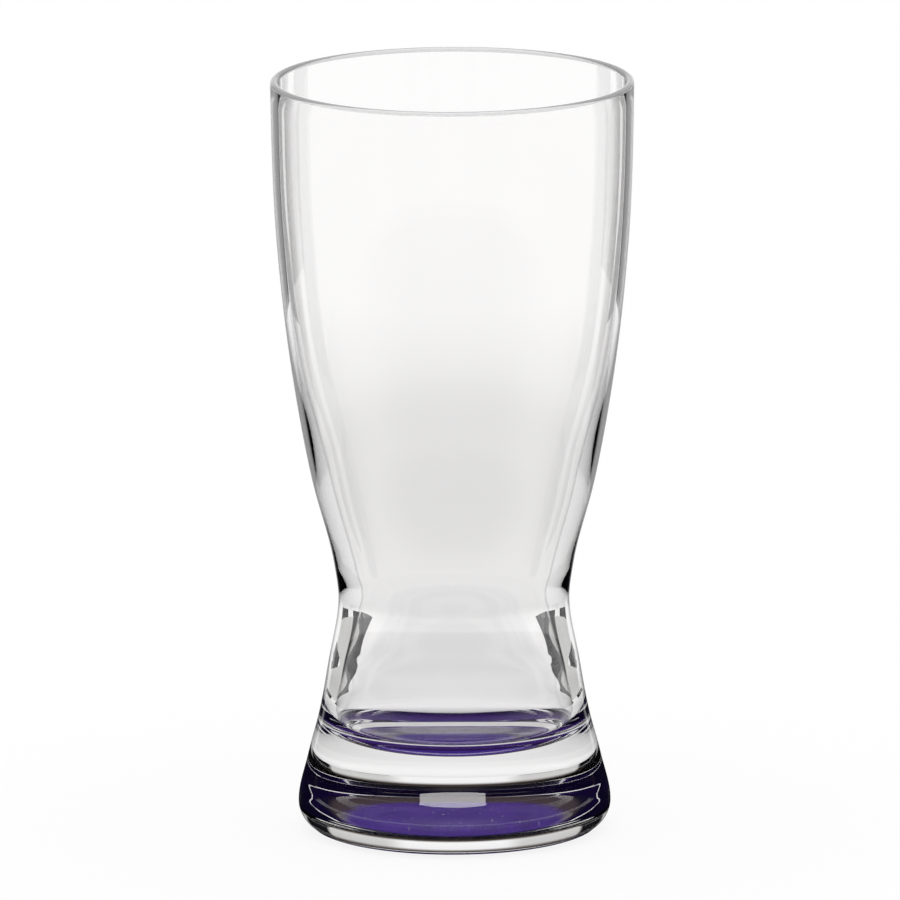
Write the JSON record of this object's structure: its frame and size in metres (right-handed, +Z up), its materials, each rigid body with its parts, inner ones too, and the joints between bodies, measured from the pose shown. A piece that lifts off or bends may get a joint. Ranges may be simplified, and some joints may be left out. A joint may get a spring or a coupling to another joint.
{
  "type": "pilsner glass",
  "caption": "Hourglass pilsner beer glass in clear glass, with a narrow waist, a heavy solid foot and a violet tint under the foot.",
  "frame": {"origin": "middle of the resting plane, under the centre of the foot", "axes": "+Z up the axis of the glass, +X and +Y in the resting plane; the glass is round, so X and Y have no front"},
  "size_m": [0.0724, 0.0724, 0.152],
  "materials": {
    "clear_glass": "clear colourless soda-lime glass, fire-polished, smooth and glossy inside and out",
    "violet_coat": "thin see-through violet lacquer baked onto the underside of the foot, glossy"
  },
  "bodies": {
    "root": {"glass_body": "clear_glass", "base_tint": "violet_coat"}
  },
  "joints": []
}
